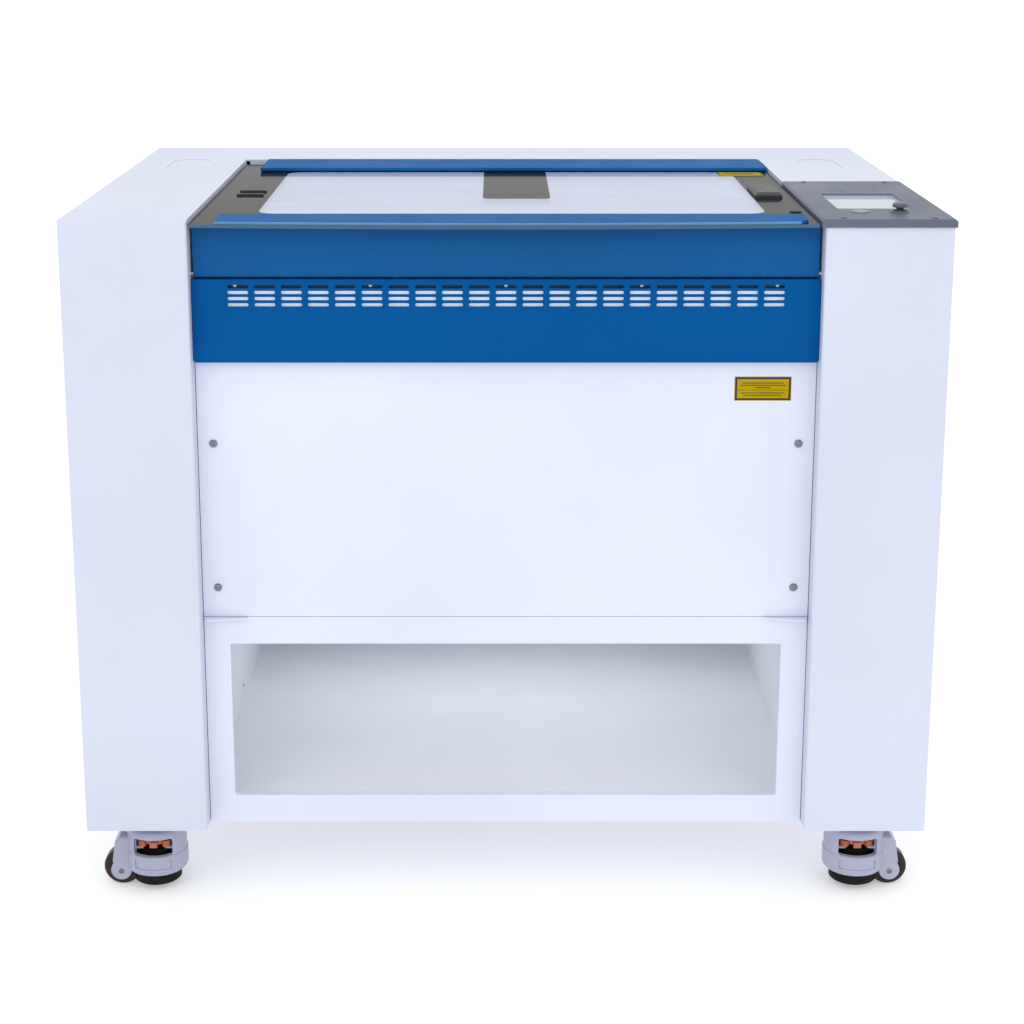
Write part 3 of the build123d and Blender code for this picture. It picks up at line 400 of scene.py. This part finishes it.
def plate_label(name, lo, hi, base, normal, body, bars):
    """Generic plate: dark edge, yellow field and plain dark bars in place of any wording."""
    upright = normal == "-Y"
    axis, up = (1, 2) if upright else (2, 1)
    lift = -1 if upright else 1
    x0, u0 = lo
    x1, u1 = hi

    def layer(part, areas, level, thick, material):
        bm = bmesh.new()
        near = base + lift * level
        far = near + lift * thick
        for ax0, ax1, au0, au1 in areas:
            low = [ax0, 0, 0]
            high = [ax1, 0, 0]
            low[up] = au0
            high[up] = au1
            low[axis] = min(near, far)
            high[axis] = max(near, far)
            add_block(bm, low, high)
        add_object(name + part, mesh_from(bm, name + part), material, body)

    def inset(edge):
        return [(x0 + edge, x1 - edge, u0 + edge, u1 - edge)]

    layer("_sheet", inset(0), 0, LABEL_SHEET, YELLOW)
    layer("_edge", inset(EDGE_INSET), LABEL_SHEET, LABEL_LAYER, LABEL_BLACK)
    layer("_field", inset(FIELD_INSET), LABEL_EDGE, LABEL_LAYER, YELLOW)
    marks = [(x0 + bx0, x0 + bx1, u0 + bu0, u0 + bu1) for bx0, bx1, bu0, bu1 in bars]
    layer("_bars", marks, LABEL_FIELD, LABEL_BAR, LABEL_BLACK)


# Bars as left, right, bottom and top within the label
FRONT_BARS = [(0.012, 0.074, 0.0270, 0.0282), (0.008, 0.078, 0.0235, 0.0247),
              (0.032, 0.054, 0.0200, 0.0212), (0.004, 0.082, 0.0165, 0.0170),
              (0.010, 0.076, 0.0115, 0.0127), (0.014, 0.072, 0.0080, 0.0092)]
LID_BARS = [(0.008, 0.071, 0.034, 0.036), (0.014, 0.065, 0.028, 0.030),
            (0.008, 0.071, 0.022, 0.024), (0.020, 0.060, 0.014, 0.016)]
ACCESS_PANEL_Y = -0.445
LID_GLASS_Z = 1.084
plate_label("front_label", (0.3455, 0.809), (0.4314, 0.8465), ACCESS_PANEL_Y, "-Y", "cabinet", FRONT_BARS)
plate_label("lid_label", (0.371, 0.070), (0.450, 0.1215), LID_GLASS_Z, "+Z", "lid", LID_BARS)


# Screws of the back sheet and round the duct flange
BACK_Y = 0.450
FLANGE_Y = 0.453
DUCT_Z = 0.790
FLANGE_BOLT = 0.063


def button_heads(name, spots, radius, height):
    """Domed socket screws on the back."""
    dome = [(radius, 0), (radius, height * 0.25), (radius * 0.9, height * 0.62),
            (radius * 0.7, height * 0.9), (radius * 0.5, height), (radius * 0.46, height),
            (radius * 0.44, height * 0.45), (0.0001, height * 0.4)]
    places = [facing(x, y, z, (0, 1, 0)) for x, y, z in spots]
    add_turned(name, dome, places, 24, ZINC, "cabinet")


rear_spots = [(x, BACK_Y, z) for x in (-0.64, -0.32, 0.0, 0.32, 0.64) for z in (0.138, 1.068)]
rear_spots += [(x, BACK_Y, z) for x in (-0.64, 0.64) for z in (0.37, 0.60, 0.84)]
button_heads("rear_screws", rear_spots, 0.006, 0.003)
flange_spots = [(sx * FLANGE_BOLT, FLANGE_Y, DUCT_Z + sz * FLANGE_BOLT)
                for sx in (-1, 1) for sz in (-1, 1)]
button_heads("flange_screws", flange_spots, 0.0045, 0.0025)

# Rings round the button and the stick
CONTROL_TOP = 1.091
BUTTON_RING = [(0.0152, 0), (0.0152, 0.0006), (0.0146, 0.0012), (0.0124, 0.0012), (0.0119, 0.0006),
               (0.0119, 0)]
STICK_RING = [(0.0140, 0), (0.0140, 0.0010), (0.0132, 0.0022), (0.0112, 0.0026), (0.0104, 0.0018),
              (0.0102, 0)]
button_place = Matrix.Translation((0.5325, -0.401, CONTROL_TOP))
add_turned("button_ring", BUTTON_RING, [button_place], 64, DARK_STEEL, "cabinet")
stick_place = Matrix.Translation((0.5913, -0.406, CONTROL_TOP))
add_turned("stick_ring", STICK_RING, [stick_place], 64, STICK_GREY, "cabinet")

# Axle caps and mounting bolts of the casters
AXLE_X = 0.617
AXLE_Z = 0.028
HOOD_HALF = 0.024
CASTER_X = 0.562
PLATE_BOLT = 0.040
PLATE_UNDERSIDE = 0.115
AXLE_CAP = [(0.0042, 0), (0.0042, 0.0008), (0.0036, 0.0014), (0.0026, 0.0014), (0.0026, 0.0003),
            (0.0001, 0.0003)]
HEX_BOLT = [(0.0075, 0), (0.0075, 0.0008), (0.0062, 0.0008), (0.0062, 0.0048), (0.0054, 0.0054),
            (0.0001, 0.0054)]
for corner, (side, y) in CORNERS.items():
    places = [facing(side * AXLE_X, y + face * HOOD_HALF, AXLE_Z, (0, face, 0)) for face in (-1, 1)]
    add_turned(f"axle_caps_{corner}", AXLE_CAP, places, 32, DARK_STEEL, f"caster_{corner}_swivel")
bm = bmesh.new()
for side, y in CORNERS.values():
    for sx in (-1, 1):
        for sy in (-1, 1):
            x = side * CASTER_X + sx * PLATE_BOLT
            lathe(bm, HEX_BOLT, facing(x, y + sy * PLATE_BOLT, PLATE_UNDERSIDE, (0, 0, -1)), 6)
add_object("caster_bolts", mesh_from(bm, "caster_bolts"), ZINC, "cabinet")

# Lamps along the inside of the chamber, under the tower tops
bm = bmesh.new()
for side in (-1, 1):
    x0, x1 = sorted((side * 0.5225, side * 0.5150))
    add_block(bm, (x0, -0.40, 1.060), (x1, 0.10, 1.068))
add_object("chamber_lamps", mesh_from(bm, "chamber_lamps"), LIGHT_BAR, "cabinet")

# Toothed drive belt along the gantry
BELT_END = 0.478
BELT_LOW = 1.0372
BELT_HIGH = 1.0428
TOOTH_PITCH = 0.003
TOOTH_WIDTH = 0.0015
bm = bmesh.new()
add_block(bm, (-BELT_END, 0.2486, BELT_LOW), (BELT_END, 0.2498, BELT_HIGH))
for i in range(318):
    x = -0.477 + i * TOOTH_PITCH
    add_block(bm, (x, 0.2478, BELT_LOW), (x + TOOTH_WIDTH, 0.2487, BELT_HIGH))
add_object("gantry_belt", mesh_from(bm, "gantry_belt"), PAD, "gantry")

# ---------------------------------------------------------------- edges
for name, width in SOFT_EDGES.items():
    modifier = NODES[name].modifiers.new("edge", "BEVEL")
    modifier.width = width
    modifier.segments = 2
    modifier.limit_method = "ANGLE"
    modifier.angle_limit = math.radians(50)
    modifier.use_clamp_overlap = True

# ---------------------------------------------------------------- stage
FLOOR_CORNERS = [(-60, -40, 0), (60, -40, 0), (60, 120, 0), (-60, 120, 0)]
floor_mesh = bpy.data.meshes.new("floor")
floor_mesh.from_pydata(FLOOR_CORNERS, [], [(0, 1, 2, 3)])
floor = bpy.data.objects.new("floor", floor_mesh)
scene.collection.objects.link(floor)
floor_mat, floor_tree, floor_shader = new_material("floor")
floor_colour = two_tone(floor_tree, noise(floor_tree, 0.8), (0.78, 0.78, 0.78), (0.80, 0.80, 0.80))
floor_tree.links.new(floor_colour, floor_shader.inputs["Base Color"])
floor_shader.inputs["Emission Color"].default_value = (1.0, 1.0, 1.0, 1)
floor_shader.inputs["Emission Strength"].default_value = 0.34
floor_shader.inputs["Roughness"].default_value = 0.9
floor_shader.inputs["Specular IOR Level"].default_value = 0.0
floor_mesh.materials.append(floor_mat)

world = bpy.data.worlds.new("studio")
world.use_nodes = True
background = world.node_tree.nodes["Background"]
background.inputs["Color"].default_value = (1.0, 1.0, 1.0, 1)
background.inputs["Strength"].default_value = 1.0
scene.world = world


def area_light(name, location, target, size, power, color=(1, 1, 1)):
    """Soft rectangular lamp aimed at a point."""
    data = bpy.data.lights.new(name, "AREA")
    data.shape = "RECTANGLE"
    data.size, data.size_y = size
    data.energy = power
    data.color = color
    lamp = bpy.data.objects.new(name, data)
    lamp.location = location
    lamp.rotation_euler = (Vector(target) - Vector(location)).to_track_quat("-Z", "Y").to_euler()
    scene.collection.objects.link(lamp)


area_light("key", (-1.6, -3.6, 3.4), (0, 0, 0.6), (2.6, 2.0), 14)
area_light("fill", (2.4, -3.2, 2.4), (0, 0, 0.6), (2.4, 2.0), 7)
area_light("top", (0, -0.4, 3.6), (0, 0, 1.0), (3.0, 2.0), 10)
# Lifts the light under the roof of the storage bay
area_light("bay_bounce", (0, -0.05, 0.452), (0, -0.16, 0.146), (0.80, 0.42), 1.45)
# Lights the pale backing seen through the slots, from the gap behind the vent panel
area_light("vent_bounce", (0, -0.4566, 0.9687), (0, -0.4500, 0.9687), (0.86, 0.032), 0.032,
           (0.82, 0.95, 1.0))
